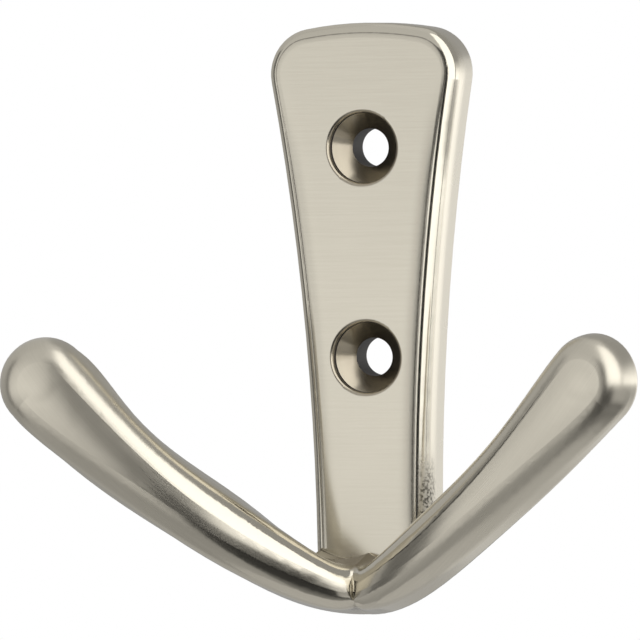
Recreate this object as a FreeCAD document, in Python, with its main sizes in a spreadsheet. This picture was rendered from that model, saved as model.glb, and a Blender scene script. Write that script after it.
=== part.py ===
import FreeCAD, Part
import math
import os
import Sketcher

doc = FreeCAD.newDocument("robe_hook")

# Sizes in millimetres and degrees. The origin is midway between the two screws, on the wall face.
values = {
    "plate_thickness": 6.3,
    "plate_top": 27.4,
    "plate_top_radius": 44.0,
    "plate_corner_radius": 5.5,
    "plate_side_radius": 327,
    "plate_foot_radius": 7.2,
    "plate_foot_centre": 35.15,
    "plate_edge_radius": 1.8,
    "plate_back_radius": 0.4,
    "screw_spacing": 25.0,
    "bore_diameter": 4.6,
    "sink_diameter": 8.4,
    "sink_angle": 90.0,
    "sink_lip": 1.0,
    "sink_rim_radius": 0.5,
    "cut_margin": 1.0,
    "upper_pocket_width": 11.0,
    "upper_pocket_height": 12.0,
    "lower_pocket_width": 8.0,
    "lower_pocket_height": 14.0,
    "lower_pocket_drop": 26.0,
    "pocket_corner_radius": 2.0,
    "pocket_depth": 3.5,
    "foot_inset": 1.0,
    "foot_sunk": 1.5,
    "foot_reach": 5.0,
    "foot_valley_drop": 36.8,
    "foot_valley_radius": 13.0,
    "foot_valley_slope": 13.0,
    "arm_root_drop": 39.43,
    "arm_root_forward": 6.0,
    "arm_heading": 44.9,
    "arm_lean": 29.1,
    "arm_reach": 34.0,
    "arm_height": 28.2,
    "arm_root_radius": 11.2,
    "arm_bow_radius": 101.5,
    "arm_side_slope": 7.5,
    "arm_crown_radius": 14.0,
    "arm_back_radius": 0.9,
    "root_face": 4.2,
    "root_slope": 16,
    "root_round": 2.3,
    "root_depth": 6.5,
    "heel_place": 0.42,
    "heel_face": 5.3,
    "heel_slope": 5,
    "heel_round": 2.4,
    "heel_depth": 5.8,
    "neck_place": 0.14,
    "neck_face": 7.2,
    "neck_slope": 1,
    "neck_round": 3.0,
    "neck_depth": 6.0,
    "middle_place": 0.48,
    "middle_face": 7.4,
    "middle_round": 3.2,
    "middle_depth": 5.4,
    "paddle_place": 0.8,
    "paddle_face": 9.1,
    "paddle_round": 3.3,
    "paddle_depth": 5.0,
    "tip_face": 10.0,
    "tip_round": 3.4,
    "tip_depth": 5.0,
}
sizes = doc.addObject("Spreadsheet::Sheet", "sizes")
for row, (name, value) in enumerate(values.items(), start=1):
    sizes.set("A%d" % row, name)
    sizes.set("B%d" % row, str(value))
    sizes.setAlias("B%d" % row, name)
doc.recompute()

body = doc.addObject("PartDesign::Body", "robe_hook")


def origin_part(role):
    return [f for f in body.Origin.OriginFeatures if f.Role == role][0]


def new_sketch(name, role):
    sketch = body.newObject("Sketcher::SketchObject", name)
    sketch.AttachmentSupport = [(origin_part(role), "")]
    sketch.MapMode = "FlatFace"
    return sketch


def fix(sketch, name, formula, *constraint):
    index = sketch.addConstraint(Sketcher.Constraint(*constraint))
    sketch.renameConstraint(index, name)
    sketch.setExpression("Constraints." + name, formula)


def tie(sketch, *constraint):
    sketch.addConstraint(Sketcher.Constraint(*constraint))


def arc(cx, cy, radius, start, end):
    circle = Part.Circle(FreeCAD.Vector(cx, cy, 0), FreeCAD.Vector(0, 0, 1), radius)
    return Part.ArcOfCircle(circle, math.radians(start), math.radians(end))


def line(x0, y0, x1, y1):
    return Part.LineSegment(FreeCAD.Vector(x0, y0, 0), FreeCAD.Vector(x1, y1, 0))


def angle_of(x0, y0, x1, y1):
    return math.degrees(math.atan2(y1 - y0, x1 - x0))


def add(kind, name):
    feature = body.newObject("PartDesign::" + kind, name)
    return feature


# Back plate: a tongue with a crowned top, hollow sides and a round foot.
foot_r = values["plate_foot_radius"]
foot_z = -values["plate_foot_centre"]
side_r = values["plate_side_radius"]
side_x = foot_r + side_r
top_r = values["plate_top_radius"]
top_z = values["plate_top"] - top_r
corner_r = values["plate_corner_radius"]
gap = math.hypot(side_x, foot_z - top_z)
along = ((top_r - corner_r) ** 2 - (side_r + corner_r) ** 2 + gap ** 2) / (2 * gap)
across = math.sqrt((top_r - corner_r) ** 2 - along ** 2)
corner_x = (along * side_x - across * (foot_z - top_z)) / gap
corner_z = top_z + (along * (foot_z - top_z) + across * side_x) / gap
to_top = angle_of(0, top_z, corner_x, corner_z)
to_side = angle_of(side_x, foot_z, corner_x, corner_z)

outline = new_sketch("plate_outline", "XZ_Plane")
outline.addGeometry([
    arc(0, top_z, top_r, to_top, 180 - to_top),
    arc(-corner_x, corner_z, corner_r, 180 - to_top, 360 - to_side),
    arc(-side_x, foot_z, side_r, 0, 180 - to_side),
    arc(0, foot_z, foot_r, 180, 360),
    arc(side_x, foot_z, side_r, to_side, 180),
    arc(corner_x, corner_z, corner_r, to_side - 180, to_top),
])
for joint in ((0, 2, 1, 1), (1, 2, 2, 2), (2, 1, 3, 1), (3, 2, 4, 2), (4, 1, 5, 1), (5, 2, 0, 1)):
    tie(outline, "Tangent", *joint)
tie(outline, "PointOnObject", 0, 3, -2)
tie(outline, "PointOnObject", 3, 3, -2)
tie(outline, "Horizontal", 2, 3, 3, 3)
tie(outline, "Horizontal", 4, 3, 3, 3)
tie(outline, "Equal", 1, 5)
tie(outline, "Equal", 2, 4)
fix(outline, "top_radius", "sizes.plate_top_radius", "Radius", 0, top_r)
fix(outline, "corner_radius", "sizes.plate_corner_radius", "Radius", 5, corner_r)
fix(outline, "side_radius", "sizes.plate_side_radius", "Radius", 4, side_r)
fix(outline, "foot_radius", "sizes.plate_foot_radius", "Radius", 3, foot_r)
fix(outline, "foot_drop", "sizes.plate_foot_centre", "DistanceY", 3, 3, -1, 1, -foot_z)
fix(outline, "top_drop", "sizes.plate_top_radius - sizes.plate_top", "DistanceY", 0, 3, -1, 1, -top_z)

plate = add("Pad", "plate")
plate.Profile = outline
plate.setExpression("Length", "sizes.plate_thickness")
doc.recompute()


def face_at_y(shape, y):
    return ["Face%d" % (i + 1) for i, f in enumerate(shape.Faces)
            if f.BoundBox.YLength < 1e-6 and abs(f.CenterOfMass.y - y) < 1e-6]


rounded = add("Fillet", "plate_front_edge")
rounded.Base = (plate, face_at_y(plate.Shape, -values["plate_thickness"]))
rounded.setExpression("Radius", "sizes.plate_edge_radius")
doc.recompute()

eased = add("Fillet", "plate_back_edge")
eased.Base = (rounded, face_at_y(rounded.Shape, 0))
eased.setExpression("Radius", "sizes.plate_back_radius")
doc.recompute()

# Foot: the lower end of the plate runs forward into the arms, with a hollow on top that falls to the front.
def foot_outline(name, forward_name, sign):
    radius = values["plate_foot_radius"] - values["foot_inset"]
    forward = sign * values[forward_name]
    fall = forward * math.tan(math.radians(values["foot_valley_slope"]))
    valley_r = values["foot_valley_radius"]
    valley_z = valley_r - values["foot_valley_drop"] - fall
    between = valley_z - foot_z
    corner_up = (radius ** 2 - valley_r ** 2 + between ** 2) / (2 * between)
    corner_out = math.sqrt(radius ** 2 - corner_up ** 2)
    low = angle_of(0, 0, corner_out, corner_up)
    high = angle_of(0, between, corner_out, corner_up)
    sketch = new_sketch(name, "XZ_Plane")
    sketch.setExpression("AttachmentOffset.Base.z", "sizes.plate_thickness + %d * sizes.%s" % (sign, forward_name))
    sketch.addGeometry([
        arc(0, foot_z, radius, 180 - low, 360 + low),
        arc(0, valley_z, valley_r, -180 - high, high),
    ])
    tie(sketch, "Coincident", 0, 2, 1, 2)
    tie(sketch, "Coincident", 0, 1, 1, 1)
    tie(sketch, "PointOnObject", 0, 3, -2)
    tie(sketch, "PointOnObject", 1, 3, -2)
    fix(sketch, "radius", "sizes.plate_foot_radius - sizes.foot_inset", "Radius", 0, radius)
    fix(sketch, "drop", "sizes.plate_foot_centre", "DistanceY", 0, 3, -1, 1, -foot_z)
    fix(sketch, "valley_radius", "sizes.foot_valley_radius", "Radius", 1, valley_r)
    fix(sketch, "valley_drop",
        "sizes.foot_valley_drop - sizes.foot_valley_radius + %d * sizes.%s * tan(sizes.foot_valley_slope)"
        % (sign, forward_name), "DistanceY", 1, 3, -1, 1, -valley_z)
    return sketch


foot = add("AdditiveLoft", "foot")
foot.Profile = foot_outline("foot_back_outline", "foot_sunk", -1)
foot.Sections = [foot_outline("foot_front_outline", "foot_reach", 1)]
doc.recompute()

# Arm: a bar with a crowned front and sloping sides, lofted along a bowed line from the middle of the foot
# to a round paddle tip. The line runs along the front of the arm, and the two arms meet in a crease.
spine = new_sketch("arm_line", "XY_Plane")
spine.setExpression(
    "AttachmentOffset",
    "placement(vector(0; -sizes.plate_thickness - sizes.arm_root_forward; -sizes.arm_root_drop);"
    " rotation(-sizes.arm_heading; 0; 90 - sizes.arm_lean))")
reach = values["arm_reach"]
height = values["arm_height"]
root_r = values["arm_root_radius"]
bow_r = values["arm_bow_radius"]
far = math.hypot(reach, height - root_r)
opening = math.acos(((bow_r - root_r) ** 2 + far ** 2 - bow_r ** 2) / (2 * (bow_r - root_r) * far))
swing = math.atan2(height - root_r, reach) + opening
bow_x = (bow_r - root_r) * math.cos(swing)
bow_y = root_r + (bow_r - root_r) * math.sin(swing)
leave = angle_of(bow_x, bow_y, 0, root_r)
spine.addGeometry([
    arc(0, root_r, root_r, 270, leave),
    arc(bow_x, bow_y, bow_r, leave, angle_of(bow_x, bow_y, reach, height)),
])
tie(spine, "Coincident", 0, 1, -1, 1)
tie(spine, "PointOnObject", 0, 3, -2)
tie(spine, "Tangent", 0, 2, 1, 1)
fix(spine, "root_radius", "sizes.arm_root_radius", "Radius", 0, root_r)
fix(spine, "bow_radius", "sizes.arm_bow_radius", "Radius", 1, bow_r)
fix(spine, "reach", "sizes.arm_reach", "DistanceX", -1, 1, 1, 2, reach)
fix(spine, "height", "sizes.arm_height", "DistanceY", -1, 1, 1, 2, height)
doc.recompute()


def across_arm(name, edge):
    sketch = body.newObject("Sketcher::SketchObject", name)
    sketch.AttachmentSupport = [(spine, edge)]
    sketch.MapMode = "NormalToEdge"
    return sketch


def side_points(part, slope_name):
    half = values[part + "_face"] / 2
    crown = values["arm_crown_radius"]
    front = values[part + "_round"]
    back = values["arm_back_radius"]
    slope = math.radians(values[slope_name])
    side = half * math.cos(slope)
    turn = math.asin((side - front + crown * math.sin(slope)) / (crown - front)) - slope
    front_x = (crown - front) * math.cos(turn) - crown
    front_y = (crown - front) * math.sin(turn)
    back_x = back - values[part + "_depth"]
    back_y = (side - back - back_x * math.sin(slope)) / math.cos(slope)
    return math.degrees(turn), front_x, front_y, back_x, back_y


def upper_side(part, slope_name):
    turn, front_x, front_y, back_x, back_y = side_points(part, slope_name)
    front = values[part + "_round"]
    back = values["arm_back_radius"]
    face = 90 - values[slope_name]
    up = math.sin(math.radians(face))
    out = math.cos(math.radians(face))
    return [
        arc(front_x, front_y, front, turn, face),
        line(front_x + front * out, front_y + front * up, back_x + back * out, back_y + back * up),
        arc(back_x, back_y, back, face, 180),
    ]


def under_side(part, slope_name):
    turn, front_x, front_y, back_x, back_y = side_points(part, slope_name)
    front = values[part + "_round"]
    back = values["arm_back_radius"]
    face = 90 - values[slope_name]
    up = math.sin(math.radians(face))
    out = math.cos(math.radians(face))
    return [
        arc(back_x, -back_y, back, 180, 360 - face),
        line(back_x + back * out, -back_y - back * up, front_x + front * out, -front_y - front * up),
        arc(front_x, -front_y, front, 360 - face, 360 - turn),
    ]


def size_section(sketch, part, slope_name, corner):
    slope = values[slope_name]
    crown = values["arm_crown_radius"]
    tie(sketch, "PointOnObject", 0, 3, -1)
    tie(sketch, "Vertical", 4)
    tie(sketch, "PointOnObject", corner, 1, 2)
    tie(sketch, "PointOnObject", corner, 1, -2)
    fix(sketch, "crown", "sizes.arm_crown_radius", "Radius", 0, crown)
    fix(sketch, "front", "sizes.%s_round" % part, "Radius", 1, values[part + "_round"])
    fix(sketch, "back", "sizes.arm_back_radius", "Radius", 3, values["arm_back_radius"])
    fix(sketch, "slope", "180 - sizes." + slope_name, "Angle", 2, math.radians(180 - slope))
    fix(sketch, "half_face", "sizes.%s_face / 2" % part, "DistanceY", -1, 1, corner, 1, values[part + "_face"] / 2)
    fix(sketch, "behind", "sizes.%s_depth" % part, "DistanceX", 4, 1, -1, 1, values[part + "_depth"])


def draw_section(sketch, part, slope_name):
    deep = values[part + "_depth"]
    half = values[part + "_face"] / 2
    crown = values["arm_crown_radius"]
    turn, _, _, _, back_y = side_points(part, slope_name)
    sketch.addGeometry([arc(-crown, 0, crown, -turn, turn)])
    sketch.addGeometry(upper_side(part, slope_name))
    sketch.addGeometry([line(-deep, back_y, -deep, -back_y)])
    sketch.addGeometry(under_side(part, slope_name))
    sketch.addGeometry(Part.Point(FreeCAD.Vector(0, half, 0)), True)
    for joint in range(8):
        tie(sketch, "Tangent", joint, 2, (joint + 1) % 8, 1)
    tie(sketch, "Equal", 1, 7)
    tie(sketch, "Equal", 3, 5)
    tie(sketch, "Symmetric", 2, 2, 6, 1, -1)
    fix(sketch, "crown_set_back", "sizes.arm_crown_radius", "DistanceX", 0, 3, -1, 1, crown)
    size_section(sketch, part, slope_name, 8)


# The root section lies in the middle plane, where the arms meet.
root = new_sketch("root_section", "YZ_Plane")
root.setExpression(
    "AttachmentOffset",
    "placement(vector(-sizes.plate_thickness - sizes.arm_root_forward; -sizes.arm_root_drop; 0);"
    " rotation(0; 180; 0))")
draw_section(root, "root", "root_slope")
between = []
for part, edge, slope_name in (
        ("heel", "Edge1", "heel_slope"),
        ("neck", "Edge2", "neck_slope"),
        ("middle", "Edge2", "arm_side_slope"),
        ("paddle", "Edge2", "arm_side_slope")):
    section = across_arm(part + "_section", edge)
    section.setExpression("MapPathParameter", "sizes.%s_place" % part)
    draw_section(section, part, slope_name)
    between.append(section)
tip = across_arm("tip_section", "Edge2")
tip.MapPathParameter = 1.0
draw_section(tip, "tip", "arm_side_slope")
doc.recompute()

arm = add("AdditiveLoft", "arm")
arm.Profile = root
arm.Sections = between + [tip]
doc.recompute()

# The paddle end turns half the tip section round the tip's middle.
deep = values["tip_depth"]
half = values["tip_face"] / 2
crown = values["arm_crown_radius"]
turn, _, _, _, back_y = side_points("tip", "arm_side_slope")
end = across_arm("tip_half_section", "Edge2")
end.MapPathParameter = 1.0
end.addGeometry([arc(-crown, 0, crown, 0, turn)])
end.addGeometry(upper_side("tip", "arm_side_slope"))
end.addGeometry([
    line(-deep, back_y, -deep, 0),
    line(-deep, 0, 0, 0),
])
end.addGeometry(Part.Point(FreeCAD.Vector(0, half, 0)), True)
for joint in range(4):
    tie(end, "Tangent", joint, 2, joint + 1, 1)
tie(end, "Coincident", 4, 2, 5, 1)
tie(end, "Coincident", 5, 2, 0, 1)
tie(end, "Coincident", 0, 1, -1, 1)
tie(end, "PointOnObject", 4, 2, -1)
size_section(end, "tip", "arm_side_slope", 6)
doc.recompute()

paddle_end = add("Revolution", "paddle_end")
paddle_end.Profile = end
paddle_end.ReferenceAxis = (end, ["H_Axis"])
paddle_end.Angle = 180
paddle_end.Reversed = True
doc.recompute()

pair = add("Mirrored", "other_arm")
pair.Originals = [arm, paddle_end]
pair.MirrorPlane = (origin_part("YZ_Plane"), [""])
body.Tip = pair
doc.recompute()

# Screw holes: a plain bore, a cone for the screw head and a short wall with a rounded rim.
thick = values["plate_thickness"]
bore = values["bore_diameter"] / 2
sink = values["sink_diameter"] / 2
lip = values["sink_lip"]
rim = values["sink_rim_radius"]
margin = values["cut_margin"]
cone = (sink - bore) / math.tan(math.radians(values["sink_angle"] / 2))
hole = new_sketch("screw_hole_profile", "YZ_Plane")
hole.setExpression("AttachmentOffset.Base.y", "sizes.screw_spacing / 2")
hole.addGeometry([
    line(margin, 0, margin, bore),
    line(margin, bore, lip + cone - thick, bore),
    line(lip + cone - thick, bore, lip - thick, sink),
    line(lip - thick, sink, rim - thick, sink),
    arc(rim - thick, sink + rim, rim, 180, 270),
    line(-thick, sink + rim, -thick - margin, sink + rim),
    line(-thick - margin, sink + rim, -thick - margin, 0),
    line(-thick - margin, 0, margin, 0),
])
for joint in ((0, 2, 1, 1), (1, 2, 2, 1), (2, 2, 3, 1), (4, 1, 5, 1), (5, 2, 6, 1), (6, 2, 7, 1), (7, 2, 0, 1)):
    tie(hole, "Coincident", *joint)
tie(hole, "Tangent", 3, 2, 4, 2)
for edge in (1, 3, 5):
    tie(hole, "Horizontal", edge)
for edge in (0, 6):
    tie(hole, "Vertical", edge)
tie(hole, "PointOnObject", 7, 1, -1)
tie(hole, "PointOnObject", 7, 2, -1)
tie(hole, "Horizontal", 4, 1, 4, 3)
fix(hole, "margin_behind", "sizes.cut_margin", "DistanceX", -1, 1, 0, 1, margin)
fix(hole, "margin_before", "sizes.plate_thickness + sizes.cut_margin", "DistanceX", 6, 1, -1, 1, thick + margin)
fix(hole, "bore_radius", "sizes.bore_diameter / 2", "DistanceY", -1, 1, 0, 2, bore)
fix(hole, "sink_radius", "sizes.sink_diameter / 2", "DistanceY", -1, 1, 3, 1, sink)
fix(hole, "wall_start", "sizes.plate_thickness - sizes.sink_lip", "DistanceX", 3, 1, -1, 1, thick - lip)
fix(hole, "cone_angle", "180 - sizes.sink_angle / 2", "Angle", 2, math.radians(180 - values["sink_angle"] / 2))
fix(hole, "rim_radius", "sizes.sink_rim_radius", "Radius", 4, rim)
fix(hole, "rim_face", "sizes.plate_thickness", "DistanceX", 4, 1, -1, 1, thick)
doc.recompute()

upper_hole = add("Groove", "upper_screw_hole")
upper_hole.Profile = hole
upper_hole.ReferenceAxis = (hole, ["H_Axis"])
upper_hole.Angle = 360
doc.recompute()

lower_hole = add("LinearPattern", "lower_screw_hole")
lower_hole.Originals = [upper_hole]
lower_hole.Direction = (hole, ["V_Axis"])
lower_hole.Reversed = True
lower_hole.Occurrences = 2
lower_hole.setExpression("Length", "sizes.screw_spacing")
body.Tip = lower_hole
doc.recompute()


# The back is cored out between the screws and below them.
def back_pocket(name, place):
    width = values[name + "_width"] / 2
    height = values[name + "_height"] / 2
    radius = values["pocket_corner_radius"]
    sketch = new_sketch(name + "_outline", "XZ_Plane")
    sketch.setExpression("AttachmentOffset.Base.y", place)
    sketch.addGeometry([
        arc(width - radius, height - radius, radius, 0, 90),
        line(width - radius, height, radius - width, height),
        arc(radius - width, height - radius, radius, 90, 180),
        line(-width, height - radius, -width, radius - height),
        arc(radius - width, radius - height, radius, 180, 270),
        line(radius - width, -height, width - radius, -height),
        arc(width - radius, radius - height, radius, 270, 360),
        line(width, radius - height, width, height - radius),
    ])
    for joint in range(8):
        tie(sketch, "Tangent", joint, 2, (joint + 1) % 8, 1)
    tie(sketch, "Horizontal", 1)
    tie(sketch, "Horizontal", 5)
    tie(sketch, "Vertical", 3)
    tie(sketch, "Vertical", 7)
    tie(sketch, "Equal", 0, 2)
    tie(sketch, "Equal", 2, 4)
    tie(sketch, "Equal", 4, 6)
    tie(sketch, "Symmetric", 0, 3, 4, 3, -1, 1)
    fix(sketch, "half_width", "sizes.%s_width / 2" % name, "DistanceX", -1, 1, 7, 1, width)
    fix(sketch, "half_height", "sizes.%s_height / 2" % name, "DistanceY", -1, 1, 1, 1, height)
    fix(sketch, "corner_radius", "sizes.pocket_corner_radius", "Radius", 0, radius)
    doc.recompute()
    pocket = add("Pocket", name)
    pocket.Profile = sketch
    pocket.Reversed = True
    pocket.setExpression("Length", "sizes.pocket_depth")
    doc.recompute()
    return pocket


upper_pocket = back_pocket("upper_pocket", "0")
lower_pocket = back_pocket("lower_pocket", "-sizes.lower_pocket_drop")
body.Tip = lower_pocket
doc.recompute()

for item in doc.Objects:
    if "Invalid" in item.State or "Error" in item.State:
        raise RuntimeError("%s could not be worked out" % item.Name)
    if item.isDerivedFrom("PartDesign::Feature") and (item.Shape.isNull() or not item.Shape.isValid()):
        raise RuntimeError("%s has no sound shape" % item.Name)
if len(body.Shape.Solids) != 1:
    raise RuntimeError("the hook is not one solid")

os.makedirs("parts", exist_ok=True)
body.Shape.exportStep("parts/robe_hook.step")
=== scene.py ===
import math

import bpy
from mathutils import Matrix, Vector


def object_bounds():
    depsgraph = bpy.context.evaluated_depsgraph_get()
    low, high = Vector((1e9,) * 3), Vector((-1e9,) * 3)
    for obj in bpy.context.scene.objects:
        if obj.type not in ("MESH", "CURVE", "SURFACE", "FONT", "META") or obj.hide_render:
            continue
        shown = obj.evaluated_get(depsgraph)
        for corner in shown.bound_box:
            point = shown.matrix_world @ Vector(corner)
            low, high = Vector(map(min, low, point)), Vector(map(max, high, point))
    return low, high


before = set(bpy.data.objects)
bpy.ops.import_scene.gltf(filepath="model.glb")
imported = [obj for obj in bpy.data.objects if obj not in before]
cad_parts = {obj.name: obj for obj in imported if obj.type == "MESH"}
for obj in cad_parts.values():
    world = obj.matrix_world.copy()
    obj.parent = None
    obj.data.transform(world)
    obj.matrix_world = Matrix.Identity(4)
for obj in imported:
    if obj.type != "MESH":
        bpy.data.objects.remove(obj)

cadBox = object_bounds()
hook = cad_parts["robe_hook"]
mmPerMetre = 1000.0
print("frame loaded:", [round(x * mmPerMetre, 1) for corner in cadBox for x in corner])


def linearColour(hexText):
    channels = [int(hexText[i:i + 2], 16) / 255 for i in (1, 3, 5)]
    return [c / 12.92 if c <= 0.04045 else ((c + 0.055) / 1.055) ** 2.4 for c in channels] + [1.0]


# An input is a plain value or the name of an earlier node, with a point and its output if it has several.
# A Mix takes its share at 0, numbers at 2 and 3, vectors at 4 and 5, colours at 6 and 7.
def addNode(tree, name, kind, settings=None, inputs=None):
    node = tree.nodes.new("ShaderNode" + kind)
    for key, value in (settings or {}).items():
        setattr(node, key, value)
    for socket, value in (inputs or {}).items():
        if isinstance(value, str):
            source, _, output = value.partition(".")
            sources = [o for o in tree.nodes[source].outputs if o.enabled and output in ("", o.name)]
            tree.links.new(sources[0], node.inputs[socket])
        else:
            node.inputs[socket].default_value = value
    # a name means the newest node that has it
    if name in tree.nodes:
        tree.nodes[name].name = name + " before"
    node.name = name


def newMaterial(name):
    material = bpy.data.materials.new(name)
    material.use_nodes = True
    material.node_tree.nodes.clear()
    return material, material.node_tree


# steps that several zones share: what is measured, where the step is 0 and where it is 1
onArm = ("forward", 6.5, 6.9)
onPlate = ("forward", 6.9, 6.5)
atScrew = ("fromScrew", 4.75, 4.5)
offScrew = ("fromScrew", 4.5, 4.75)
notBack = ("front", -0.6, -0.3)

# satin nickel plated zinc: die cast, its fronts brushed and its round edges buffed, then plated warm grey.
# Brushed fronts mirror the room softly, buffed edges sharply, and the cast back stays dull and grainy.
nickel = {
    "colour": "#d3cdbe",
    # tints laid over that colour, zone by zone
    "tints": [
        # the corner and bore tints are painted shade; the plate burr tint is partly a burr and partly a
        # painted dark reflection
        ("hairShade", "#cfc9ba"), ("corner", "#8f8574"), ("hole", "#b5ac9a"), ("bore", "#2e2a24"),
        ("pits", "#3f3b34"), ("plateBurrAndDarkReflection", "#4c4840"), ("armBurr", "#4c4840"),
    ],
    "panelRoughness": 0.22,
    "edgeRoughness": 0.12,
    # mm from the middle and roughness, at the root and at the tip: the brush reaches the tips best
    "crownRoughness": (5.0, 0.15, 27.0, 0.3),
    "shoulderRoughness": (8.0, 0.12, 31.0, 0.3),
    # roughness of the zones that are neither brushed nor buffed
    "roughZones": [
        ("side", 0.28), ("hole", 0.2), ("back", 0.4), ("missed", 0.4), ("corner", 0.3), ("bore", 0.6),
    ],
    "boreDarkening": 0.9,                   # share of the bores' metal taken away, which with their near-black tint is painted shade
    # noise: what it lies on, its size in mm across, deep and up, its detail and its roughness
    "patterns": {
        "wander": ("mirrored", (0.9, 0.9, 0.9), 4.0, 0.5),      # uneven ends of the brush strokes
        "plateHairs": ("point", (9.0, 1.0, 0.13), 3.0, 0.65),   # real hairlines are near 0.03 mm wide:
        "armHairs": ("along", (9.0, 2.0, 0.13), 3.0, 0.65),     # drawn coarser, or they would not show
        "grain": ("point", (0.3, 0.3, 0.3), 3.0, 0.6),          # skin of the die
        "pitting": ("point", (0.42, 0.42, 0.42), 3.0, 0.6),
        "cloud": ("point", (7.0, 7.0, 7.0), 2.0, 0.5),          # waves left by the buffing wheel
    },
    "noiseMean": 0.5,
    "raggedLine": 0.35,                 # mm that the end of the brushing wanders on the arms
    "raggedFront": 0.03,                # and on the plate's edge, in how squarely it faces the room
    "hairContrast": (0.62, 0.38),       # noise where a hairline is clear and where it is dark
    "hairGloss": 0.1,                   # change of roughness with the hairlines and with the waves
    "cloudGloss": 0.05,
    "hairDepth": (0.0004, 0.0002),      # mm, on the plate and on the arms
    "grainDepth": 0.008,
    "cloudDepth": 0.02,
    "panelRoll": (0.3, 3.7, 1.3),       # mm that the panel's long edges roll down, from and to mm inside them
    "sideRoll": (0.55, 2.4, 6.3),       # mm that the plate's sides roll in, from and to mm off the wall
    "screwSpacing": 25.0,
    "sideRadius": 327.0,                # the plate's hollow sides
    "footRadius": 7.2,
    "footCentre": -35.15,
    "crownRadius": 14.0,
    "paddleReach": 2.2,                 # mm round the middle of a paddle that are all crown
    # where each arm's brushed front ends, seen from the front: height at the root, rise per mm outward, curl
    "finishLine": (-39.43, 0.442, 0.0129),
    "finishLean": 0.8,                  # the line leans, so a point is nearer to it than its height says
    # each zone is a product of steps, some of them with other ends than 0 and 1.
    # Lengths are in mm, and front is how squarely the surface faces the room.
    "zones": {
        "arm": [onArm],
        "back": [("forward", 0.45, 0.15)],
        # the countersinks, tinted darker and browner than the plate
        "hole": [atScrew, ("front", 0.995, 0.96), notBack],
        # the bores, tinted near black and made less metallic: painted shade
        "bore": [atScrew, ("front", 0.35, 0.1), notBack],
        "outerSide": [offScrew, notBack],
        "side": [("front", 0.4, 0.1), ("forward", 6.5, 6.3), offScrew],
        "panel": [("raggedFront", 0.93, 0.955)],
        "armFront": [("ragged", 0.1, -0.1), ("above", -9.5, -6.0), ("front", 0.1, 0.45)],
        # the burr where the brushing stops at a buffed edge
        "armBurr": [
            ("offLine", 0.09, 0.03), onArm, ("out", 31.5, 26.0), ("out", 2.0, 5.0), ("front", 0.2, 0.6),
            ("wander", 0.25, 0.55, 0.3, 0.85), ("spot.X", -6.0, 6.0, 0.1, 1.0),
        ],
        # a thin dark line on the plate's rounded edges: partly a burr, partly a painted dark reflection
        "plateBurrAndDarkReflection": [
            ("front", 0.915, 0.935), ("front", 0.96, 0.945), onPlate, offScrew,
            ("wander", 0.25, 0.55, 0.2, 0.55),
        ],
        # cast skin that the brush missed, on the plate's round edge beside the arms
        "missed": [
            ("spot.Z", -21.5, -28.0), ("front", 0.985, 0.93), ("out", 6.0, 6.8), ("forward", 2.0, 4.4),
            onPlate, ("spot.X", -2.0, 2.0, 0.35, 1.0),
        ],
        "pits": [
            ("missed", 0.0, 1.0), ("pitting", 0.54, 0.4, 0.35, 1.0), ("spot.Z", -22.0, -31.0, 0.3, 1.0),
        ],
        # the corner behind the arms, rougher, and tinted darker there as painted shade
        "corner": [("forward", 6.35, 6.6), ("forward", 12.5, 10.5), ("out", 8.5, 6.5), ("above", 0.4, 1.2)],
        "rollZone": [("spot.Z", 26.0, 8.0), onPlate, notBack],
        "pole": [("toPole", 2.5, 1.3)],
        # the crease between the arms, buffed out towards its lower end
        "crease": [("out", 3.5, 0.3), ("spot.Z", -40.4, -41.6), onArm],
    },
}


# middle of the right paddle's front, which is the point where most facets meet, and the way it faces
def paddleMiddle():
    mesh = hook.data
    spokes = [0] * len(mesh.vertices)
    for edge in mesh.edges:
        for end in edge.vertices:
            spokes[end] += 1
    rightHalf = [v for v in mesh.vertices if v.co.x > cadBox[1][0] / 2]
    tip = max(rightHalf, key=lambda v: spokes[v.index]).co
    reach = nickel["paddleReach"] / mmPerMetre
    near = [face for face in mesh.polygons if (face.center - tip).length < reach]
    facing = sum((face.normal * face.area for face in near), Vector()).normalized()
    print("paddle middle:", [round(x * mmPerMetre, 2) for x in tip], "facing", [round(x, 3) for x in facing])
    return tip * mmPerMetre, facing


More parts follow.
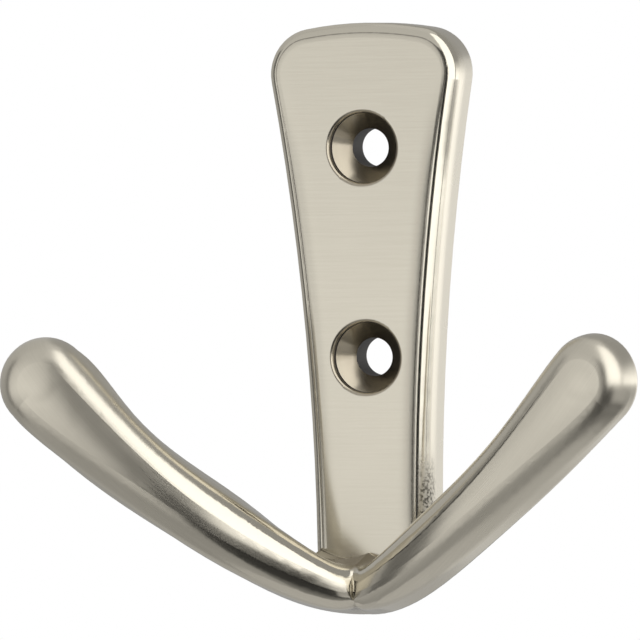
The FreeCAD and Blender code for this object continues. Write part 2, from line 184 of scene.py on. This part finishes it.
def satinNickel():
    material, tree = newMaterial("satin nickel plated zinc")
    pole, poleFacing = paddleMiddle()
    lineRoot, lineRise, lineCurl = nickel["finishLine"]
    sideMiddle = (nickel["sideRadius"] + nickel["footRadius"], 0.0, nickel["footCentre"])
    measures = [
        ("place", "TexCoord"),
        ("point", "VectorMath", {"operation": "SCALE"}, {0: "place.Object", "Scale": mmPerMetre}),
        ("spot", "SeparateXYZ", {}, {0: "point"}),
        ("facing", "SeparateXYZ", {}, {0: "place.Normal"}),
        ("out", "Math", {"operation": "ABSOLUTE"}, {0: "spot.X"}),
        ("mirrored", "CombineXYZ", {}, {0: "out", 1: "spot.Y", 2: "spot.Z"}),
        ("forward", "Math", {"operation": "MULTIPLY"}, {0: "spot.Y", 1: -1.0}),
        ("front", "Math", {"operation": "MULTIPLY"}, {0: "facing.Y", 1: -1.0}),
        # how far above the line where an arm's brushed front ends
        ("slope", "Math", {"operation": "MULTIPLY_ADD"}, {0: "out", 1: lineCurl, 2: lineRise}),
        ("line", "Math", {"operation": "MULTIPLY_ADD"}, {0: "slope", 1: "out", 2: lineRoot}),
        ("lift", "Math", {"operation": "SUBTRACT"}, {0: "spot.Z", 1: "line"}),
        ("above", "Math", {"operation": "MULTIPLY"}, {0: "lift", 1: nickel["finishLean"]}),
        ("along", "CombineXYZ", {}, {0: "spot.X", 1: "spot.Y", 2: "above"}),
        # how far from the nearer screw's axis, inside the plate's sides and from a paddle's middle
        ("level", "Math", {"operation": "ABSOLUTE"}, {0: "spot.Z"}),
        ("offLevel", "Math", {"operation": "SUBTRACT"}, {0: "level", 1: nickel["screwSpacing"] / 2}),
        ("offAxis", "CombineXYZ", {}, {0: "spot.X", 2: "offLevel"}),
        ("fromScrew", "VectorMath", {"operation": "LENGTH"}, {0: "offAxis"}),
        ("outline", "CombineXYZ", {}, {0: "out", 2: "spot.Z"}),
        ("toSide", "VectorMath", {"operation": "DISTANCE"}, {0: "outline", 1: sideMiddle}),
        ("inside", "Math", {"operation": "SUBTRACT"}, {0: "toSide", 1: nickel["sideRadius"]}),
        ("toPole", "VectorMath", {"operation": "DISTANCE"}, {0: "mirrored", 1: pole}),
    ]
    for measure in measures:
        addNode(tree, *measure)
    for name, (lies, size, detail, roughness) in nickel["patterns"].items():
        addNode(tree, name + "Size", "VectorMath", {"operation": "DIVIDE"}, {0: lies, 1: size})
        addNode(tree, name, "TexNoise", {}, {
            "Vector": name + "Size", "Scale": 1.0, "Detail": detail, "Roughness": roughness})
    brushEnds = [
        ("drift", "Math", {"operation": "SUBTRACT"}, {0: "wander", 1: nickel["noiseMean"]}),
        ("ragged", "Math", {"operation": "MULTIPLY_ADD"}, {0: "drift", 1: nickel["raggedLine"], 2: "above"}),
        ("offLine", "Math", {"operation": "ABSOLUTE"}, {0: "ragged"}),
        ("raggedFront", "Math", {"operation": "MULTIPLY_ADD"}, {
            0: "drift", 1: nickel["raggedFront"], 2: "front"}),
    ]
    for step in brushEnds:
        addNode(tree, *step)
    for zone, steps in nickel["zones"].items():
        product = 1.0
        for measured, none, full, *ends in steps:
            least, most = ends or (0.0, 1.0)
            addNode(tree, zone + "Step", "MapRange", {"interpolation_type": "SMOOTHSTEP"}, {
                "Value": measured, "From Min": none, "From Max": full, "To Min": least, "To Max": most})
            addNode(tree, zone, "Math", {"operation": "MULTIPLY"}, {0: product, 1: zone + "Step"})
            product = zone

    # hairlines run across the plate and along the arms
    hairClear, hairDark = nickel["hairContrast"]
    addNode(tree, "brushed", "Mix", {}, {0: "arm", 2: "panel", 3: "armFront"})
    addNode(tree, "hairs", "Mix", {}, {0: "arm", 2: "plateHairs", 3: "armHairs"})
    addNode(tree, "hairShade", "MapRange", {}, {
        "Value": "hairs", "From Min": hairClear, "From Max": hairDark})
    addNode(tree, "hairShade", "Math", {"operation": "MULTIPLY"}, {0: "hairShade", 1: "brushed"})
    colour = linearColour(nickel["colour"])
    for zone, tint in nickel["tints"]:
        addNode(tree, "colour", "Mix", {"data_type": "RGBA"}, {0: zone, 6: colour, 7: linearColour(tint)})
        colour = "colour"

    for part in ("crown", "shoulder"):
        rootOut, rootRough, tipOut, tipRough = nickel[part + "Roughness"]
        addNode(tree, part + "Rough", "MapRange", {"interpolation_type": "SMOOTHSTEP"}, {
            "Value": "out", "From Min": rootOut, "From Max": tipOut, "To Min": rootRough, "To Max": tipRough})
    gloss = [
        ("armRough", "Mix", {}, {0: "brushed", 2: "shoulderRough", 3: "crownRough"}),
        ("plateRough", "Mix", {}, {0: "brushed", 2: nickel["edgeRoughness"], 3: nickel["panelRoughness"]}),
        ("rough", "Mix", {}, {0: "arm", 2: "plateRough", 3: "armRough"}),
        *[("rough", "Mix", {}, {0: zone, 2: "rough", 3: value}) for zone, value in nickel["roughZones"]],
        ("hairOff", "Math", {"operation": "SUBTRACT"}, {0: "hairs", 1: nickel["noiseMean"]}),
        ("hairSpread", "Math", {"operation": "MULTIPLY"}, {0: "brushed", 1: nickel["hairGloss"]}),
        ("rough", "Math", {"operation": "MULTIPLY_ADD"}, {0: "hairOff", 1: "hairSpread", 2: "rough"}),
        ("cloudOff", "Math", {"operation": "SUBTRACT"}, {0: "cloud", 1: nickel["noiseMean"]}),
        ("rough", "Math", {"operation": "MULTIPLY_ADD"}, {
            0: "cloudOff", 1: nickel["cloudGloss"], 2: "rough"}),
        # the bores lose most of their metal, painted shade
        ("metal", "Math", {"operation": "MULTIPLY_ADD"}, {0: "bore", 1: -nickel["boreDarkening"], 2: 1.0}),
    ]
    plateDepth, armDepth = nickel["hairDepth"]
    panelDrop, panelStart, panelEnd = nickel["panelRoll"]
    sideDrop, sideStart, sideEnd = nickel["sideRoll"]
    relief = [
        ("hairDepth", "Mix", {}, {0: "arm", 2: plateDepth, 3: armDepth}),
        ("hairHeight", "Math", {"operation": "MULTIPLY"}, {0: "hairs", 1: "hairDepth"}),
        ("relief", "Math", {"operation": "MULTIPLY"}, {0: "hairHeight", 1: "brushed"}),
        ("dull", "Math", {"operation": "MAXIMUM"}, {0: "back", 1: "missed"}),
        ("dull", "Math", {"operation": "MAXIMUM"}, {0: "dull", 1: "bore"}),
        ("grainHeight", "Math", {"operation": "MULTIPLY"}, {0: "grain", 1: "dull"}),
        ("relief", "Math", {"operation": "MULTIPLY_ADD"}, {
            0: "grainHeight", 1: nickel["grainDepth"], 2: "relief"}),
        ("relief", "Math", {"operation": "MULTIPLY_ADD"}, {
            0: "cloud", 1: nickel["cloudDepth"], 2: "relief"}),
        # the panel's long edges roll down, and the plate's sides roll in towards the front
        ("panelRoll", "MapRange", {}, {"Value": "inside", "From Min": panelStart, "From Max": panelEnd}),
        ("panelRoll", "Math", {"operation": "MULTIPLY"}, {0: "panelRoll", 1: "panelRoll"}),
        ("panelRoll", "Math", {"operation": "MULTIPLY"}, {0: "panelRoll", 1: "rollZone"}),
        ("relief", "Math", {"operation": "MULTIPLY_ADD"}, {0: "panelRoll", 1: -panelDrop, 2: "relief"}),
        ("sideRoll", "MapRange", {}, {"Value": "forward", "From Min": sideStart, "From Max": sideEnd}),
        ("sideRoll", "Math", {"operation": "MULTIPLY"}, {0: "sideRoll", 1: "sideRoll"}),
        ("sideRoll", "Math", {"operation": "SUBTRACT"}, {0: 1.0, 1: "sideRoll"}),
        ("sideRoll", "Math", {"operation": "MULTIPLY"}, {0: "sideRoll", 1: "outerSide"}),
        ("relief", "Math", {"operation": "MULTIPLY_ADD"}, {0: "sideRoll", 1: sideDrop, 2: "relief"}),
    ]
    crownMiddle = pole - poleFacing * nickel["crownRadius"]
    normals = [
        # true crown round the middle of each paddle, where the facets run to a point
        ("crownOut", "VectorMath", {"operation": "SUBTRACT"}, {0: "mirrored", 1: crownMiddle}),
        ("crownSides", "SeparateXYZ", {}, {0: "crownOut"}),
        ("hand", "Math", {"operation": "SIGN"}, {0: "spot.X"}),
        ("crownX", "Math", {"operation": "MULTIPLY"}, {0: "crownSides.X", 1: "hand"}),
        ("crownOut", "CombineXYZ", {}, {0: "crownX", 1: "crownSides.Y", 2: "crownSides.Z"}),
        ("crownOut", "VectorMath", {"operation": "NORMALIZE"}, {0: "crownOut"}),
        ("crownOut", "VectorTransform", {
            "vector_type": "NORMAL", "convert_from": "OBJECT", "convert_to": "WORLD"}, {0: "crownOut"}),
        ("shape", "NewGeometry"),
        ("even", "Mix", {"data_type": "VECTOR"}, {0: "pole", 4: "shape.Normal", 5: "crownOut"}),
        # the two sides of the crease turn to face the same way
        ("evenSides", "SeparateXYZ", {}, {0: "even"}),
        ("creaseLeft", "Math", {"operation": "SUBTRACT"}, {0: 1.0, 1: "crease"}),
        ("evenX", "Math", {"operation": "MULTIPLY"}, {0: "evenSides.X", 1: "creaseLeft"}),
        ("even", "CombineXYZ", {}, {0: "evenX", 1: "evenSides.Y", 2: "evenSides.Z"}),
        ("even", "VectorMath", {"operation": "NORMALIZE"}, {0: "even"}),
        ("bump", "Bump", {}, {
            "Strength": 1.0, "Distance": 1 / mmPerMetre, "Height": "relief", "Normal": "even"}),
        ("shader", "BsdfPrincipled", {}, {
            "Metallic": "metal", "Base Color": "colour", "Roughness": "rough", "Normal": "bump"}),
        ("surface", "OutputMaterial", {}, {"Surface": "shader"}),
    ]
    for step in gloss + relief + normals:
        addNode(tree, *step)
    return material


hook.data.materials[0] = satinNickel()
print("hook finished")

# the room: soft boxes and papers round the hook, level with its foot
room = {
    "radius": 0.28,     # metres, and so are the level and the floor
    "level": -0.045,
    "cardSteps": 24,
    "cards": [
        # name, azimuth from and to, elevation from and to, brightness below and above
        ("frontLeftPaper", -62, -36, 0, 35, 0.92, 0.68),
        ("frontPaper", -36, -10, 0, 35, 1.15, 0.68),
        ("lensPaper", -10, 1, 0, 35, 0.92, 0.66),
        ("frontLowPaper", -62, 1, -25, 0, 0.5, 1.0),
        ("frontUpperPaper", -62, 20.5, 35, 76, 0.68, 0.66),
        ("lensFlag", 1, 20.5, -0.5, 35, 0.04, 0.1),
        ("rightBox", 20.5, 70, 0, 76, 1.9, 1.7),
        ("rightBoxEdge", 70, 75, 0, 76, 0.3, 0.3),
        ("rightBoxFar", 75, 152, 0, 30, 2.1, 0.42),
        ("rightFarPaper", 75, 152, 30, 76, 0.4, 0.4),
        ("rightWall", 152, 180, -10, 25, 0.9, 0.8),
        ("rightWallTop", 152, 180, 25, 76, 0.45, 0.4),
        ("leftStand", -76, -62, -25, 35, 0.16, 0.16),
        ("backPaper", -180, -150, -25, 76, 0.38, 0.42),
        ("leftPaper", -150, -76, -25, 76, 0.38, 0.64),
        ("leftUpperPaper", -76, -62, 35, 76, 0.6, 0.6),
        ("rightTable", 1, 44, -35, -0.5, 0.06, 0.02),
        ("rightTableSide", 44, 95, -35, -0.5, 0.6, 0.36),
        ("rightTableEnd", 95, 125, -35, -0.5, 0.4, 0.4),
        ("rightUnder", 1, 125, -60, -35, 0.3, 0.08),
        ("frontLeftTable", -100, -45, -60, -25, 0.36, 0.5),
        ("frontTable", -45, 1, -60, -25, 0.42, 0.36),
        ("leftTable", -180, -100, -60, -25, 0.52, 0.5),
        ("backTable", 125, 180, -60, -10, 0.7, 0.85),
        ("underPaper", -180, 180, -90, -60, 0.6, 0.58),
        ("overPaper", -180, 180, 76, 90, 0.7, 0.7),
    ],
    "floorDrop": 0.12,
    "floorRadius": 1.2,
    "floorSteps": 96,
    "floorColour": "#f6f5f3",
    "surround": (0.7, 1.0),     # the white round the room as it lights matt things and as it is seen
    "lamps": [
        # name, azimuth, elevation, distance, size, power
        ("rightSoftbox", 48, 50, 0.9, 0.6, 5.0),
        ("leftSoftbox", -50, 45, 0.9, 0.6, 2.5),
    ],
}


def onSphere(azimuth, elevation, radius):
    a, e = math.radians(azimuth), math.radians(elevation)
    return Vector((math.sin(a) * math.cos(e), -math.cos(a) * math.cos(e), math.sin(e))) * radius


def reflectionCard(name, fromAzimuth, toAzimuth, fromElevation, toElevation, below, above):
    steps = room["cardSteps"]
    centre = Vector((0.0, 0.0, room["level"]))
    points = [
        centre + onSphere(
            fromAzimuth + (toAzimuth - fromAzimuth) * i / steps,
            fromElevation + (toElevation - fromElevation) * j / steps,
            room["radius"],
        )
        for j in range(steps + 1) for i in range(steps + 1)
    ]
    row = steps + 1
    faces = [
        (j * row + i, j * row + i + 1, (j + 1) * row + i + 1, (j + 1) * row + i)
        for j in range(steps) for i in range(steps)
    ]
    mesh = bpy.data.meshes.new(name)
    mesh.from_pydata(points, [], faces)
    card = bpy.data.objects.new(name, mesh)
    bpy.context.scene.collection.objects.link(card)
    material, tree = newMaterial(name + " light")
    addNode(tree, "place", "TexCoord")
    addNode(tree, "height", "SeparateXYZ", {}, {0: "place.Generated"})
    addNode(tree, "fade", "MapRange", {}, {"Value": "height.Z", "To Min": below, "To Max": above})
    addNode(tree, "light", "Emission", {}, {"Color": linearColour("#ffffff"), "Strength": "fade"})
    addNode(tree, "surface", "OutputMaterial", {}, {"Surface": "light"})
    mesh.materials.append(material)
    card.visible_camera = False
    card.visible_diffuse = False
    card.visible_shadow = False


def paleFloor():
    steps = room["floorSteps"]
    height = cadBox[0][2] - room["floorDrop"]
    turns = [2 * math.pi * i / steps for i in range(steps)]
    radius = room["floorRadius"]
    rim = [(radius * math.cos(a), radius * math.sin(a), height) for a in turns]
    mesh = bpy.data.meshes.new("floor")
    mesh.from_pydata(rim, [], [tuple(range(steps))])
    floor = bpy.data.objects.new("floor", mesh)
    bpy.context.scene.collection.objects.link(floor)
    # even and dull, so the hook's shadow lies on it softly
    material, tree = newMaterial("matt white paper")
    addNode(tree, "paper", "BsdfDiffuse", {}, {"Color": linearColour(room["floorColour"])})
    addNode(tree, "surface", "OutputMaterial", {}, {"Surface": "paper"})
    mesh.materials.append(material)
    floor.visible_glossy = False    # the metal sees the cards below it instead


def whiteSurround():
    world = bpy.data.worlds.new("white surround")
    bpy.context.scene.world = world
    world.use_nodes = True
    tree = world.node_tree
    tree.nodes.clear()
    asLight, asSeen = room["surround"]
    addNode(tree, "path", "LightPath")
    addNode(tree, "seen", "Math", {"operation": "MAXIMUM"}, {
        0: "path.Is Camera Ray", 1: "path.Is Glossy Ray"})
    addNode(tree, "seen", "Math", {"operation": "MAXIMUM"}, {0: "seen", 1: "path.Is Transmission Ray"})
    addNode(tree, "strength", "MapRange", {}, {"Value": "seen", "To Min": asLight, "To Max": asSeen})
    addNode(tree, "white", "Background", {}, {"Color": linearColour("#ffffff"), "Strength": "strength"})
    addNode(tree, "surface", "OutputWorld", {}, {"Surface": "white"})


def softbox(name, azimuth, elevation, distance, size, power):
    data = bpy.data.lights.new(name, "AREA")
    data.size = size
    data.energy = power
    lamp = bpy.data.objects.new(name, data)
    lamp.location = onSphere(azimuth, elevation, distance)
    lamp.rotation_euler = lamp.location.to_track_quat("Z", "Y").to_euler()
    lamp.visible_glossy = False     # the metal sees the cards in its place
    bpy.context.scene.collection.objects.link(lamp)


for card in room["cards"]:
    reflectionCard(*card)
paleFloor()
whiteSurround()
for lamp in room["lamps"]:
    softbox(*lamp)
print("room built:", len(room["cards"]), "cards,", len(room["lamps"]), "lamps")

# the lens as the photograph has it
lens = {
    "yaw": 21.106,
    "elevation": 1.612,
    "roll": 1.079,
    "distance": 1.0,
    "aim": (-0.005311, -0.0075, -0.007929),
    "focalPixels": 8385.9,
    "imagePixels": 640,
    "sensorWidth": 36.0,    # mm
    "near": 0.01,           # metres, the range that the camera sees
    "far": 50.0,
}


def placeCamera():
    yaw, roll = math.radians(lens["yaw"]), math.radians(lens["roll"])
    back = onSphere(lens["yaw"], lens["elevation"], 1.0)
    side = Vector((math.cos(yaw), math.sin(yaw), 0.0))
    up = back.cross(side)
    across = math.cos(roll) * side - math.sin(roll) * up
    above = math.sin(roll) * side + math.cos(roll) * up
    data = bpy.data.cameras.new("camera")
    data.sensor_width = lens["sensorWidth"]
    data.lens = lens["focalPixels"] / lens["imagePixels"] * lens["sensorWidth"]
    data.clip_start = lens["near"]
    data.clip_end = lens["far"]
    camera = bpy.data.objects.new("camera", data)
    turn = Matrix((across, above, back)).transposed().to_4x4()
    camera.matrix_world = Matrix.Translation(Vector(lens["aim"]) + back * lens["distance"]) @ turn
    bpy.context.scene.collection.objects.link(camera)
    bpy.context.scene.camera = camera


placeCamera()
bpy.context.scene.view_settings.view_transform = "Standard"
print("camera placed")
